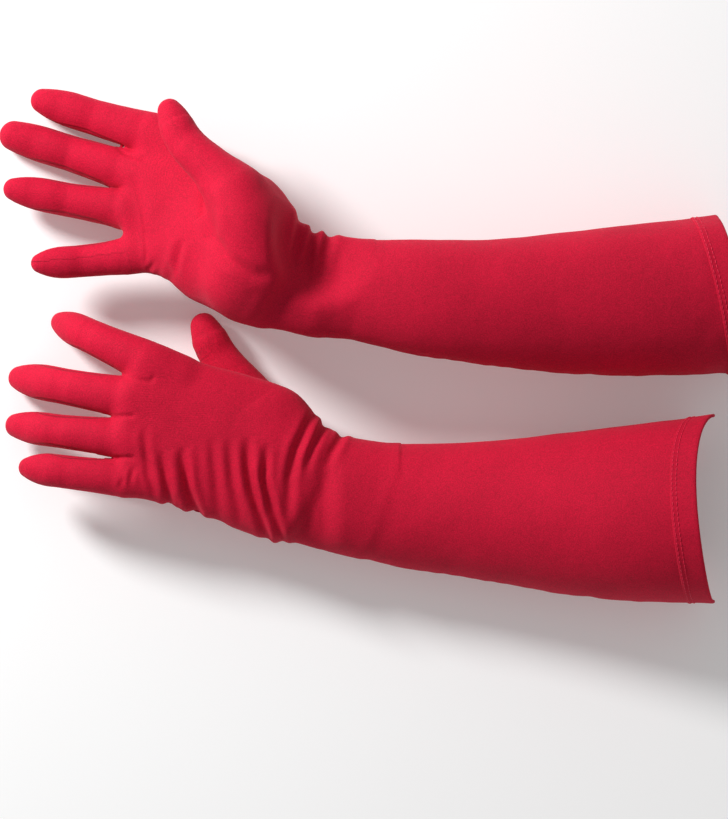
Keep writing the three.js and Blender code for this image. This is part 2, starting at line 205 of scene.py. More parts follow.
OVERLOCK = 1.7  # from one overlock stitch to the next
THREAD = 0.24  # radius of the sewing thread

FINGERS = ("index", "middle", "ring", "little")

# A sleeve station is x, the middle's y and z, half the width and half the height, all measured as
# the wrist point is. A palm station is x and y in the hand, half the width, half the thickness and
# its share of the slant of the finger roots. A mound is its middle, its three radii and its turn
# in the hand. The thenar gives the points and radii with which the thumb's tube starts. A finger is
# its radius at the root, its radius at the knuckle, and its tip's radius over the second.
GLOVES = {
    "right": dict(
        palm=1,
        wrist=(-43.7, 37.5, 70.2),
        turn=(148.2, 24.0),
        wrist_bow=(0, -1.5, -7),
        waist=2.6,
        sleeve=[
            (-36, 35.4, 59, 27.0, 17),
            (-12, 31.2, 60.5, 28.4, 18.5),
            (24.6, 26.9, 60.5, 32.5, 25.6),
            (63.8, 24.1, 56.4, 35.3, 30.5),
            (103, 24.1, 51, 39.2, 34),
            (142, 25.5, 45.6, 42.3, 37),
            (200.5, 29.2, 38, 44.6, 39.4),
        ],
        mouth=(-10.0, 4.5, 0.0),
        palm_stations=[
            (4, 8.0, 27.6, 18.5, 0),
            (36, 2, 35.5, 17.5, 0),
            (66, -0.5, 38.2, 15.5, 0.25),
            (94, 1, 38.6, 13.5, 0.7),
            (123, 2.5, 36.5, 11, 1),
        ],
        root_slant=(-0.013, -13.0),
        mounds=[
            ((26, 9, 8), (26, 30, 24), 0),
            ((50, 4, 2), (34, 36, 20), 0),
        ],
        thenar_mound=((37, -13, 12), (34, 21, 31), -28),
        hollow=((14, 21, 17), (26, 34, 22)),
        thenar=[((30, -14, 16), 12), ((42, -19, 22), 14)],
        fingers=dict(
            index=(12.2, 10.0, 0.7),
            middle=(11.8, 10.2, 0.82),
            ring=(10.9, 9.5, 0.66),
            little=(10.2, 9.0, 0.6),
        ),
        thumb_radii=(10.0, 7.0),
        thumb_tip_shift=(0, 0, 0),
    ),
    "left": dict(
        palm=-1,
        wrist=(-30.2, -80.1, 33.2),
        turn=(154.6, -4.0),
        wrist_bow=(0, -0.8, 0),
        waist=4.6,
        sleeve=[
            (-24, -82.6, 33.2, 30.4, 21.5),
            (2, -88, 29.5, 33.4, 25),
            (24.6, -90.4, 28, 35.6, 29),
            (63.8, -92.6, 31, 39.4, 33),
            (103, -93.8, 35.5, 44.8, 37.5),
            (142, -93.6, 40, 49.3, 42),
            (189.5, -91.2, 43.5, 52.7, 45.5),
        ],
        mouth=(0.0, -10.5, 0.4),
        palm_stations=[
            (4, 6.6, 30.2, 20, 0),
            (36, -0.5, 40.8, 18.5, 0),
            (66, 1.4, 41.4, 17, 0.25),
            (94, 5, 40.2, 14.5, 0.7),
            (126, 6, 38, 11, 1),
        ],
        root_slant=(-0.0105, -7.0),
        mounds=[((34, 18, -4), (28, 19, 17), 0)],
        thenar_mound=((35, -13, -8), (32, 22, 22), -28),
        hollow=None,
        thenar=[((28, -14, -14), 12), ((40, -21, -21), 13.5)],
        fingers=dict(
            index=(11.6, 9.5, 0.62),
            middle=(11.4, 10.1, 0.66),
            ring=(10.9, 9.4, 0.7),
            little=(10.4, 9.3, 0.62),
        ),
        thumb_radii=(10.3, 7.6),
        thumb_tip_shift=(4.0, 0.5, 0),
    ),
}

# ---- small helpers ----


def spline(xs, ys):
    """A smooth curve through points, level beyond its ends."""
    xs, ys = np.asarray(xs, float), np.asarray(ys, float)
    slope = np.gradient(ys, xs)

    def at(x):
        i = np.clip(np.searchsorted(xs, x) - 1, 0, len(xs) - 2)
        run = xs[i + 1] - xs[i]
        t = np.clip((x - xs[i]) / run, 0, 1)
        s = 1 - t
        return (
            ys[i] * (1 + 2 * t) * s * s
            + ys[i + 1] * (1 + 2 * s) * t * t
            + run * t * s * (slope[i] * s - slope[i + 1] * t)
        )

    return at


def ease(x, low, high):
    t = np.clip((x - low) / (high - low), 0, 1)
    return t * t * (3 - 2 * t)


def smooth_min(a, b, k):
    h = np.clip(0.5 + 0.5 * (b - a) / k, 0, 1)
    return b + (a - b) * h - k * h * (1 - h)


def smooth_max(a, b, k):
    return -smooth_min(-a, -b, k)


def unit(v):
    return v / np.linalg.norm(v)


def value_noise(points, scale, seed):
    """Smooth noise from -1 to 1 on a lattice of the given spacing."""
    q = points / scale + 0.37 * seed
    cell = np.floor(q).astype(np.int64)
    f = q - cell
    f = f * f * (3 - 2 * f)
    total = np.zeros(len(points))
    for corner in np.ndindex(2, 2, 2):
        c = cell + corner
        h = (c[:, 0] * 374761393 + c[:, 1] * 668265263 + c[:, 2] * 1440670441 + seed * 97) & 0x7FFFFFFF
        h = ((h ^ (h >> 13)) * 1274126177) & 0x7FFFFFFF
        h = h ^ (h >> 16)
        weight = np.prod(np.where(corner, f, 1 - f), axis=1)
        total += weight * ((h & 0xFFFF) / 32767.5 - 1)
    return total


def joint_point(name):
    joint = next(j for j in frame["joints"] if j["name"] == name)
    return np.array(joint["pos_m"]) * MM, unit(np.array(joint["axis"]))


def far_end(node, start):
    """The point of a CAD node that is farthest from start."""
    vertices = frame["nodes"][node].data.vertices
    co = np.empty(len(vertices) * 3)
    vertices.foreach_get("co", co)
    co = co.reshape(-1, 3) * MM
    distance = np.linalg.norm(co - start, axis=1)
    near = co[distance > distance.max() - 0.05]
    return near.mean(0)


# ---- the glove's shape ----


class Tube:
    """A tapering tube along a smooth line. Its arc length starts at the point called its root."""

    def __init__(self, points, radii, side, root_length):
        self.points = np.array(points)
        self.radii = np.array(radii)
        runs = np.linalg.norm(np.diff(self.points, axis=0), axis=1)
        self.along = np.concatenate([[0], np.cumsum(runs)]) - root_length
        self.side = side

    def field(self, p):
        """Signed distance, and the arc length of the nearest point of the line."""
        best = np.full(len(p), 1e9)
        where = np.zeros(len(p))
        for i in range(len(self.points) - 1):
            a, b = self.points[i], self.points[i + 1]
            run = b - a
            length = np.linalg.norm(run)
            level = (p - a) @ run / length
            beside = np.sqrt(np.maximum(((p - a) ** 2).sum(1) - level * level, 0))
            taper = (self.radii[i] - self.radii[i + 1]) / length
            t = np.clip((level - beside * taper / math.sqrt(1 - taper * taper)) / length, 0, 1)
            v = p - a - t[:, None] * run
            up = unit(np.cross(run, self.side))
            lift = v @ up
            d = np.sqrt((v * v).sum(1) + (FLATNESS**-2 - 1) * lift * lift)
            d -= self.radii[i] + t * (self.radii[i + 1] - self.radii[i])
            nearer = d < best
            best = np.where(nearer, d, best)
            where = np.where(nearer, self.along[i] + t * (self.along[i + 1] - self.along[i]), where)
        return best, where

    def around(self, p):
        """How far above and beside the tube's line each point is."""
        best, lift, beside = np.full(len(p), 1e9), np.zeros(len(p)), np.zeros(len(p))
        for i in range(len(self.points) - 1):
            run = self.points[i + 1] - self.points[i]
            t = np.clip((p - self.points[i]) @ run / (run @ run), 0, 1)
            v = p - self.points[i] - t[:, None] * run
            d = np.linalg.norm(v, axis=1)
            nearer = d < best
            best = np.where(nearer, d, best)
            lift = np.where(nearer, v @ unit(np.cross(run, self.side)), lift)
            beside = np.where(nearer, v @ self.side, beside)
        return lift, beside


def bent_line(start, knee, end, before, after, steps=5):
    """Points along start, knee and end, with the corner at the knee rounded off."""
    d1, d2 = unit(knee - start), unit(end - knee)
    a, c = knee - before * d1, knee + after * d2
    bend = [(1 - t) ** 2 * a + 2 * t * (1 - t) * knee + t * t * c for t in np.linspace(0, 1, steps)]
    return [start, *bend], d1, d2


def oval(y, z, half_width, half_height, power):
    """Roughly the distance to an oval section."""
    u, v = np.abs(y) / half_width, np.abs(z) / half_height
    q = (u**power + v**power) ** (1 / power) + 1e-9
    gy = (u / q) ** (power - 1) / half_width
    gz = (v / q) ** (power - 1) / half_height
    return (q - 1) / np.sqrt(gy * gy + gz * gz + 1e-9)


def mound(p, middle, radii, turn=0):
    c, s = math.cos(math.radians(turn)), math.sin(math.radians(turn))
    q = (p - middle) @ np.array([[c, -s, 0], [s, c, 0], [0, 0, 1]]) / radii
    k0 = np.linalg.norm(q, axis=1) + 1e-9
    k1 = np.linalg.norm(q / radii, axis=1) + 1e-9
    return k0 * (k0 - 1) / k1


class Glove:
    def __init__(self, side):
        self.side = side
        self.facts = facts = GLOVES[side]
        self.palm = facts["palm"]
        self.wrist, _ = joint_point(f"{side}_wrist_bend")
        yaw, pitch = np.radians(facts["turn"])
        self.axes = np.array([
            [math.cos(pitch) * math.cos(yaw), math.cos(pitch) * math.sin(yaw), -math.sin(pitch)],
            [-math.sin(yaw), math.cos(yaw), 0],
            [math.sin(pitch) * math.cos(yaw), math.sin(pitch) * math.sin(yaw), math.cos(pitch)],
        ])
        stations = np.array(facts["sleeve"], float)
        stations[:, :3] += self.wrist - np.array(facts["wrist"])
        self.sleeve_start, self.sleeve_end = stations[0, 0], stations[-1, 0]
        self.sleeve_shape = [spline(stations[:, 0], stations[:, i]) for i in range(1, 5)]
        palm = np.array(facts["palm_stations"], float)
        self.palm_end = palm[-1, 0]
        self.palm_start = palm[0, 0]
        self.palm_shape = [spline(palm[:, 0], palm[:, i]) for i in range(1, 5)]
        self.digits = {name: self.finger(name, *facts["fingers"][name]) for name in FINGERS}
        self.digits["thumb"] = self.thumb()

    def to_hand(self, p):
        return (p - self.wrist) @ self.axes.T

    def from_hand(self, p):
        return self.wrist + np.asarray(p, float) @ self.axes

    def finger(self, name, root_radius, r, tip_share):
        root, side = joint_point(f"{self.side}_{name}_root_bend")
        knee, _ = joint_point(f"{self.side}_{name}_knuckle_bend")
        end = far_end(f"{self.side}_{name}_tip", knee)
        d1 = unit(knee - root)
        corner = root - ROOT_HINGE * d1
        start = corner - 20 * unit(d1 - (d1 @ self.axes[2]) * self.axes[2])
        end = end + STRETCH.get((self.side, name), 0) * unit(end - knee)
        first, _, _ = bent_line(start, corner, knee, 9, 9)
        beyond = np.linalg.norm(end - knee)
        second, _, d2 = bent_line(corner, knee, end, 12, 0.3 * beyond)
        last, length = tip_share * r, np.linalg.norm(knee - corner)
        taper = np.linspace(1, 0, TAPER_STEPS)
        reach = min(TIP_TAPER, 0.7 * beyond - last - 1)
        points = first + second[1:] + [end - (last + reach * share) * d2 for share in taper]
        runs = np.cumsum([0, *np.linalg.norm(np.diff(points, axis=0), axis=1)])
        stations = [0, 20, 20 + 0.5 * length, 20 + length]
        radii = np.interp(runs, stations, [root_radius, root_radius + 0.5, 0.5 * (root_radius + r), r])
        radii[-TAPER_STEPS:] = last + (r - last) * (1 - (1 - taper) ** 2)
        tube = Tube(points, radii, side, 20)
        tube.root, tube.knee, tube.d1, tube.d2 = root, knee, d1, d2
        tube.length = np.linalg.norm(knee - root) + ROOT_HINGE
        tube.root_x = self.to_hand(corner)[0]
        return tube

    def thumb(self):
        root, axis = joint_point(f"{self.side}_thumb_swing")
        knee, _ = joint_point(f"{self.side}_thumb_bend")
        end = far_end(f"{self.side}_thumb_tip", knee) + self.facts["thumb_tip_shift"]
        d1 = unit(knee - root)
        side = unit(np.cross(axis, d1))
        points, _, d2 = bent_line(root, knee, end, 10, 10)
        heel, mid = (self.from_hand(point) for point, _ in self.facts["thenar"])
        taper = np.linspace(1, 0, TAPER_STEPS)
        r, last = self.facts["thumb_radii"]
        points = [heel, mid, root - THUMB_ROOT * d1, *points]
        points += [end - (last + THUMB_TAPER * share) * d2 for share in taper]
        radii = [radius for _, radius in self.facts["thenar"]]
        radii += [14.2, 13.4, *np.linspace(r + 1.2, r, 5), *(last + (r - last) * (1 - (1 - taper) ** 2))]
        length = np.linalg.norm(mid - heel) + np.linalg.norm(points[2] - mid) + THUMB_ROOT
        tube = Tube(points, radii, side, length)
        tube.root, tube.knee, tube.d1, tube.d2 = root, knee, d1, d2
        tube.length = np.linalg.norm(knee - root)
        return tube

    def sleeve_field(self, p):
        y, z, half_width, half_height = (shape(p[:, 0]) for shape in self.sleeve_shape)
        d = oval(p[:, 1] - y, p[:, 2] - z, half_width, half_height, 2.0)
        d = smooth_max(d, self.sleeve_start - p[:, 0], 8)
        return smooth_max(d, -p[:, 2], 3)

    def wrist_field(self, p):
        """The length between the sleeve and the hand, whose section turns from one to the other."""
        x = np.array([self.wrist[0] + WRIST_REACH[0]])
        sleeve = [shape(x)[0] for shape in self.sleeve_shape]
        x_hand = np.array([WRIST_REACH[1]])
        palm = [shape(x_hand)[0] for shape in self.palm_shape]
        start = np.array([x[0], sleeve[0], sleeve[1]])
        end = self.from_hand([x_hand[0], palm[0], 0])
        run = end - start
        t = (p - start) @ run / (run @ run)
        share = np.clip(t, 0, 1)[:, None]
        crease = (self.wrist + np.array(self.facts["wrist_bow"]) - 0.5 * (start + end)) * 4
        middle = start + share * run + crease * share * (1 - share)
        across = (1 - share) * np.array([0, 1.0, 0]) - share * self.axes[1]
        across /= np.linalg.norm(across, axis=1)[:, None]
        upward = (1 - share) * np.array([0, 0, 1.0]) + share * self.axes[2]
        upward /= np.linalg.norm(upward, axis=1)[:, None]
        v = p - middle
        s = share[:, 0]
        inset = WRIST_INSET * (1 - ease(np.minimum(s, 1 - s), 0, 0.3))
        inset += self.facts["waist"] * 4 * s * (1 - s)
        half_width = sleeve[2] + s * (palm[1] - sleeve[2]) - inset
        half_height = sleeve[3] + s * (palm[2] - sleeve[3]) - inset
        d = oval((v * across).sum(1), (v * upward).sum(1), half_width, half_height, 2.1)
        length = np.linalg.norm(run)
        return smooth_max(d, (np.abs(t - 0.5) - 0.5) * length, 6)

    def palm_field(self, q):
        curve, peak = self.facts["root_slant"]
        slant = curve * (q[:, 1] - peak) ** 2
        x = q[:, 0] - self.palm_shape[3](q[:, 0]) * slant
        y, half_width, half_height, _ = (shape(x) for shape in self.palm_shape)
        d = oval(q[:, 1] - y, q[:, 2], half_width, half_height, 2.3)
        d = smooth_max(d, x - self.palm_end, 8)
        return smooth_max(d, self.palm_start - q[:, 0], 8)

    def hand_field(self, hand):
        """The palm with its mounds and the wrist, without the digits."""
        q = self.to_hand(hand)
        d = self.palm_field(q)
        for middle, radii, turn in self.facts["mounds"]:
            d = smooth_min(d, mound(q, middle, radii, turn), 8)
        return smooth_min(d, self.wrist_field(hand), 5)

    def thumb_field(self, p):
        """The thumb with the mound at its base, the thumb's tube alone, and how far along it is."""
        tube, along = self.digits["thumb"].field(p)
        return smooth_min(tube, mound(self.to_hand(p), *self.facts["thenar_mound"]), 10), tube, along

    def finger_field(self, p):
        """The four fingers, kept a little apart from each other beyond their crotches."""
        fields = [self.digits[name].field(p) for name in FINGERS]
        total = np.full(len(p), 1e9)
        for i, (d, along) in enumerate(fields):
            for j in (i - 1, i + 1):
                if 0 <= j < len(fields):
                    joined_up = CROTCH_DEPTH * (1 - ease(along, *CROTCH))
                    wall = 0.5 * (fields[i][0] - fields[j][0]) + 0.5 * FINGER_GAP
                    d = smooth_max(d, wall - joined_up, 0.8)
            total = np.minimum(total, d)
        return total

    def hollowed(self, d, p):
        if self.facts["hollow"] is None:
            return d
        middle, radii = self.facts["hollow"]
        return smooth_max(d, -mound(p, self.wrist + middle, radii), 9)

    def field(self, p):
        """Signed distance to the glove's outside."""
        whole = self.sleeve_field(p)
        near = p[:, 0] < self.wrist[0] + WRIST_REACH[0] + 12
        hand = p[near]
        d = self.hand_field(hand)
        thumb, tube, along = self.thumb_field(hand)
        free = ease(along, -16, 6)
        d = smooth_max(d, 1.4 - tube - 14 * (1 - ease(along, -3, 9)), 1.0)
        beyond = self.to_hand(hand)[:, 0] > self.palm_end - 60
        d[beyond] = smooth_min(d[beyond], self.finger_field(hand[beyond]), 5)
        d = smooth_min(d, thumb, 12 - 11.4 * free)
        whole[near] = self.hollowed(smooth_min(whole[near], d, 7), hand)
        return whole


def surface_net(glove, low, high):
    """Vertices and quads on the surface where the glove's field is nought."""
    coarse = STEP * BLOCK
    size = np.ceil((high - low) / coarse).astype(int) + 1
    grid = np.stack(np.meshgrid(*[np.arange(n) for n in size], indexing="ij"), -1).reshape(-1, 3)
    middle = glove.field(low + (grid + 0.5) * coarse)
    values = np.kron(middle.reshape(size), np.ones((BLOCK,) * 3)).astype(np.float32)
    in_hand = low[0] + grid[:, 0] * coarse < glove.wrist[0] - 40
    active = grid[np.abs(middle) < np.where(in_hand, HAND_BAND, BAND)]
    inner = np.stack(np.meshgrid(*[np.arange(BLOCK)] * 3, indexing="ij"), -1).reshape(-1, 3)
    nodes = (active[:, None] * BLOCK + inner[None]).reshape(-1, 3)
    for i in range(0, len(nodes), CHUNK):
        part = nodes[i : i + CHUNK]
        values[part[:, 0], part[:, 1], part[:, 2]] = glove.field(low + part * STEP)

    inside = values < 0
    shape = np.array(values.shape) - 1
    corners = list(np.ndindex(2, 2, 2))

    def corner_view(array, c):
        return array[c[0] : shape[0] + c[0], c[1] : shape[1] + c[1], c[2] : shape[2] + c[2]]

    count = sum(corner_view(inside, c).astype(np.int8) for c in corners)
    cells = np.argwhere((count > 0) & (count < 8))
    index = np.full(shape, -1, np.int64)
    index[tuple(cells.T)] = np.arange(len(cells))
    total = np.zeros((len(cells), 3))
    crossings = np.zeros(len(cells))
    for a in corners:
        for axis in range(3):
            if a[axis]:
                continue
            b = list(a)
            b[axis] = 1
            va = values[tuple((cells + a).T)]
            vb = values[tuple((cells + b).T)]
            hit = (va < 0) != (vb < 0)
            t = np.where(hit, va / np.where(hit, va - vb, 1), 0)
            point = np.array(a, float)[None].repeat(len(cells), 0)
            point[:, axis] += t
            total += point * hit[:, None]
            crossings += hit
    vertices = low + (cells + total / crossings[:, None]) * STEP

    quads = []
    for axis in range(3):
        u, v = (axis + 1) % 3, (axis + 2) % 3
        ends = np.array(values.shape) - (np.arange(3) == axis)
        first = inside[tuple(slice(0, n) for n in ends)]
        second = inside[tuple(slice(int(i == axis), n + int(i == axis)) for i, n in enumerate(ends))]
        edge = np.argwhere(first != second)
        edge = edge[(edge[:, u] > 0) & (edge[:, v] > 0)]
        edge = edge[(edge[:, u] < shape[u]) & (edge[:, v] < shape[v])]
        flip = first[tuple(edge.T)]
        ring = []
        for du, dv in ((1, 1), (0, 1), (0, 0), (1, 0)):
            cell = edge.copy()
            cell[:, u] -= du
            cell[:, v] -= dv
            ring.append(index[tuple(cell.T)])
        ring = np.stack(ring, 1)
        quads.append(np.where(flip[:, None], ring, ring[:, ::-1]))
    return vertices, np.concatenate(quads)


def gradient(glove, p, reach=0.35):
    columns = []
    for axis in range(3):
        shift = np.zeros(3)
        shift[axis] = reach
        columns.append((glove.field(p + shift) - glove.field(p - shift)) / (2 * reach))
    return np.stack(columns, 1)


def edges_of(quads):
    pairs = np.concatenate([quads[:, [i, (i + 1) % 4]] for i in range(4)])
    return np.unique(np.sort(pairs, 1), axis=0)


def neighbour_mean(vertices, edges):
    total = np.zeros_like(vertices)
    count = np.zeros(len(vertices))
    for a, b in ((0, 1), (1, 0)):
        np.add.at(total, edges[:, a], vertices[edges[:, b]])
        np.add.at(count, edges[:, a], 1)
    return total / count[:, None]


def settle(glove, vertices, rounds=3):
    """Moves vertices onto the surface, and returns the surface's normals there."""
    for _ in range(rounds):
        slope = gradient(glove, vertices)
        steep = (slope * slope).sum(1) + 1e-6
        move = (glove.field(vertices) / steep)[:, None] * slope
        length = np.linalg.norm(move, axis=1)
        vertices = vertices - move * np.minimum(1, 1.0 / np.maximum(length, 1e-9))[:, None]
    slope = gradient(glove, vertices)
    return vertices, slope / np.linalg.norm(slope, axis=1)[:, None]


def mesh_normals(vertices, quads):
    a, b, c, d = (vertices[quads[:, i]] for i in range(4))
    flat = np.cross(c - a, d - b)
    total = np.zeros_like(vertices)
    for i in range(4):
        np.add.at(total, quads[:, i], flat)
    return total / np.linalg.norm(total, axis=1)[:, None]


# ---- how the fabric lies ----


def mouth_shift(glove, angle):
    slant, bow, skew = glove.facts["mouth"]
    return slant * np.cos(angle) + bow * np.abs(np.sin(angle)) * (1 + skew * np.cos(angle))


def sleeve_angle(glove, p):
    """The angle round the sleeve, from +Y over the top."""
    y, z, half_width, half_height = (shape(p[:, 0]) for shape in glove.sleeve_shape)
    return np.arctan2((p[:, 2] - z) / half_height, (p[:, 1] - y) / half_width)


def line_distance(p, points):
    """Distance in plan from each point to a line, and how far along the line it is, from 0 to 1."""
    points = np.asarray(points, float)
    runs = np.linalg.norm(np.diff(points, axis=0), axis=1)
    before = np.concatenate([[0], np.cumsum(runs)])
    best = np.full(len(p), 1e9)
    share = np.zeros(len(p))
    for i, run in enumerate(np.diff(points, axis=0)):
        t = np.clip((p - points[i]) @ run / (run @ run), 0, 1)
        d = np.linalg.norm(p - points[i] - t[:, None] * run, axis=1)
        share = np.where(d < best, (before[i] + t * runs[i]) / before[-1], share)
        best = np.minimum(best, d)
    return best, share


# A fold is a line in plan, from the wrist's hinge, with its depth and its width. A fold in "folds"
# is soft, with a ridge along each side; one in "creases" is a narrow line.
FOLDS = {
    "right": dict(
        folds=[
            ([(-65, 22), (-67.5, 11), (-69, 0.5)], 1.7, 2.4),
            ([(-54, 49), (-49.5, 40), (-47.5, 23), (-38, 10), (-25, 2), (-12, 2)], 1.9, 3.6),
            ([(-95, 58), (-91, 38), (-89, 22), (-88, 4)], 1.7, 5.5),
            ([(3, 44), (0, 22), (-3, 6)], 1.8, 2.4),
            ([(12, 40), (7, 16), (4, 0)], 1.8, 2.6),
            ([(22, 38), (15, 14), (12, 0)], 1.5, 2.8),
            ([(-84, 4), (-80, 10)], 0.9, 1.6),
            ([(-73, 8), (-71, -2)], 0.8, 1.8),
        ],
        creases=[
            ([(-92, 55), (-87.5, 37), (-86, 22), (-84.5, 4)], 0.9, 1.0),
            ([(-103, 75), (-96, 70), (-83, 66.5)], 1.1, 1.1),
        ],
    ),
    "left": dict(
        folds=[
            ([(-78.5, 23), (-75.5, 0), (-70, -14), (-68, -24)], 3.0, 2.6),
            ([(-90.5, 21), (-87.5, 9), (-86, -6), (-85, -14)], 1.9, 2.2),
            ([(-100, 34), (-98, 19), (-96, 6)], 1.1, 2.2),
            ([(-61, 29), (-60, 6), (-57, -18)], 1.0, 2.6),
            ([(-51.5, 29), (-50, 6), (-45.5, -22)], 1.0, 2.4),
            ([(-42, 29), (-41.5, 9), (-36.5, -9), (-31, -26), (-28, -35)], 2.3, 2.6),
            ([(-31, 25), (-32, 6), (-28, -13), (-22, -30), (-20, -38)], 2.4, 2.3),
            ([(-4, 44), (-14, 23), (-18, 6), (-19, -18)], 2.0, 2.8),
            ([(4, 42), (-5.5, 23), (-9.5, 9)], 1.7, 2.4),
            ([(15, 37), (6, 21), (3, 13)], 1.5, 2.2),
            ([(-106, 12), (-107.5, 2)], 0.9, 1.5),
            ([(-112, 6), (-113, 0)], 0.7, 1.5),
            ([(-93, -3), (-99, 12)], 0.8, 1.8),
        ],
        creases=[
            ([(-117, 40.5), (-104, 41)], 1.1, 1.1),
            ([(-117, 17.5), (-104, 17.5)], 1.1, 1.1),
            ([(-112, 63), (-103, 61), (-96, 60), (-92.5, 65)], 0.8, 1.2),
        ],
    ),
}


FAR = 50.0  # stands for no seam nearby


def side_seam(glove, p):
    """Signed distance to the seam along the sleeve and the outer edge of the hand."""
    half_width, half_height = glove.sleeve_shape[2](p[:, 0]), glove.sleeve_shape[3](p[:, 0])
    sleeve = (math.pi - np.mod(sleeve_angle(glove, p), 2 * math.pi)) * 0.5 * (half_width + half_height)
    q = glove.to_hand(p)
    share = ease(q[:, 0], -20, 24)
    seam = (1 - share) * sleeve + share * np.where(q[:, 1] > 0, q[:, 2], FAR)
    return np.where(q[:, 0] < glove.digits["little"].root_x, seam, FAR)


def seam_distance(glove, p):
    """Signed distance to the nearest seam: the side seam, and the fourchettes' edges."""
    seam = side_seam(glove, p)
    names = list(FINGERS)
    fields = {name: digit.field(p) for name, digit in glove.digits.items()}
    closest = np.array([fields[name][0] for name in glove.digits]).argmin(0)
    for i, (name, digit) in enumerate(glove.digits.items()):
        distance, along = fields[name]
        mine = (closest == i) & (distance < 2) & (along > 2)
        lift, beside = digit.around(p[mine])
        end = digit.along[-1]
        tip = 1 - ease(along[mine], end - 24, end - 4)
        if name == "thumb":
            own = np.where((beside * glove.palm > 0) | (tip < 0.5), lift, FAR)
        else:
            half = FOURCHETTE_HALF * ease(along[mine], 2, 16) * tip
            across = digit.side @ glove.axes[1]
            toward = beside * across > 0
            inner = (toward & (i < len(names) - 1)) | (~toward & (i > 0))
            outer = lift if name == "little" else np.full(len(lift), FAR)
            own = np.where(inner, np.abs(lift) - half, outer)
        seam[mine] = own
    return seam


def pads(glove, p):
    """Shallow dents across the digits at their joints, with fuller fabric between them."""
    h = np.zeros(len(p))
    for name, digit in glove.digits.items():
        distance, along = digit.field(p)
        middle = 0.5 * (digit.length + digit.along[-1])
        dents = [digit.length, middle + 3] if name == "thumb" else [4, digit.length, middle + 4]
        wave = sum(np.exp(-(((along - place) / DENT_WIDTH) ** 2)) for place in dents)
        h += np.where(distance < 2, ease(along, -2, 6) * (0.25 - DENT * wave), 0)
    return h


def displacement(glove, p, n):
    """How far the fabric stands off the smooth shape, in millimetres."""
    plan = p[:, :2] - glove.wrist[:2]
    upper = ease(n[:, 2], -0.75, 0.1)
    near = plan[:, 0] < 40
    h = np.zeros(len(p))
    part = np.zeros(near.sum())
    waver = value_noise(p[near], 9, 3) * 0.8
    for points, depth, width in FOLDS[glove.side]["folds"]:
        d, share = line_distance(plan[near] + waver[:, None] * 0.6, points)
        taper = np.sin(np.pi * np.clip(share, 0, 1) ** 0.8) ** 0.8 * 0.9 + 0.1 * share
        reach = d / width
        part -= depth * taper * (np.exp(-reach * reach) - 0.5 * np.exp(-((reach - 1.75) ** 2)))
    for points, depth, width in FOLDS[glove.side]["creases"]:
        d, share = line_distance(plan[near], points)
        fade = np.clip(6 * (1 - share), 0, 1) * ease(share, 0, 0.2)
        part -= depth * np.exp(-((d / width) ** 2)) * fade
    h[near] = part * upper[near]
    beyond = glove.to_hand(p)[:, 0] > 40
    h[beyond] += pads(glove, p[beyond]) * ease(n[beyond, 2], 0.3, 0.9)
    for height, spacing, seed in RIPPLES:
        h += height * value_noise(p, spacing, seed)
    seam = side_seam(glove, p)
    line = p * [1, 0, 0]
    pucker = 0.7 * value_noise(line, 9, 2) + 0.35 * value_noise(line, 4.5, 7)
    h += PUCKER * pucker * np.exp(-((seam / PUCKER_REACH) ** 2))
    h -= SEAM_DIP * np.exp(-((seam / SEAM_WIDTH) ** 2))
    to_hem = p[:, 0] - (glove.sleeve_end - HEM_WIDTH)
    height, spacing, seed = HEM_WAVE
    h += height * value_noise(p, spacing, seed) * np.exp(-((to_hem / HEM_WAVE_REACH) ** 2))
    return h


# ---- pieces ----


def build(name, vertices, faces, material, normals=None, attributes=None, smooth=True):
    """A mesh object from millimetres and lists of faces with the same number of corners."""
    mesh = bpy.data.meshes.new(name)
    corners = [face for group in faces for face in group.ravel()]
    sizes = np.concatenate([np.full(len(group), group.shape[1]) for group in faces])
    mesh.vertices.add(len(vertices))
    mesh.vertices.foreach_set("co", (vertices / MM).astype(np.float32).ravel())
    mesh.loops.add(len(corners))
    mesh.loops.foreach_set("vertex_index", np.array(corners, np.int32))
    mesh.polygons.add(len(sizes))
    starts = np.concatenate([[0], np.cumsum(sizes)[:-1]])
    mesh.polygons.foreach_set("loop_start", starts.astype(np.int32))
    mesh.update(calc_edges=True)
    mesh.validate()
    mesh.shade_smooth() if smooth else mesh.shade_flat()
    for key, values in (attributes or {}).items():
        kind, slot = ("FLOAT_VECTOR", "vector") if values.ndim == 2 else ("FLOAT", "value")
        attribute = mesh.attributes.new(key, kind, "POINT")
        attribute.data.foreach_set(slot, values.astype(np.float32).ravel())
    if normals is not None:
        mesh.normals_split_custom_set_from_vertices(normals.astype(np.float32).tolist())
    mesh.materials.append(material)
    obj = bpy.data.objects.new(name, mesh)
    bpy.context.scene.collection.objects.link(obj)
    return obj


def shell(name, skin, chosen, material):
    """The chosen quads of the skin as a closed piece with an inside and rims."""
    quads = skin["quads"][chosen]
    used, quads = np.unique(quads, return_inverse=True)
    quads = quads.reshape(-1, 4)
    count = len(used)
    pairs = np.concatenate([quads[:, [i, (i + 1) % 4]] for i in range(4)])
    keys = np.sort(pairs, 1) @ np.array([count, 1])
    unique, first, repeats = np.unique(keys, return_index=True, return_counts=True)
    open_edges = pairs[first[repeats == 1]]
    start, end = open_edges.T
    rim = np.stack([end, start, start + count, end + count], 1)
    outer = skin["vertices"][used]
    normals = skin["normals"][used]
    inner = outer - SKIN * normals
    attributes = {key: np.concatenate([values[used]] * 2) for key, values in skin["attributes"].items()}
    return build(
        name,
        np.concatenate([outer, inner]),
        [quads, quads[:, ::-1] + count, rim],
        material,
        np.concatenate([normals, -normals]),
        attributes,
    )


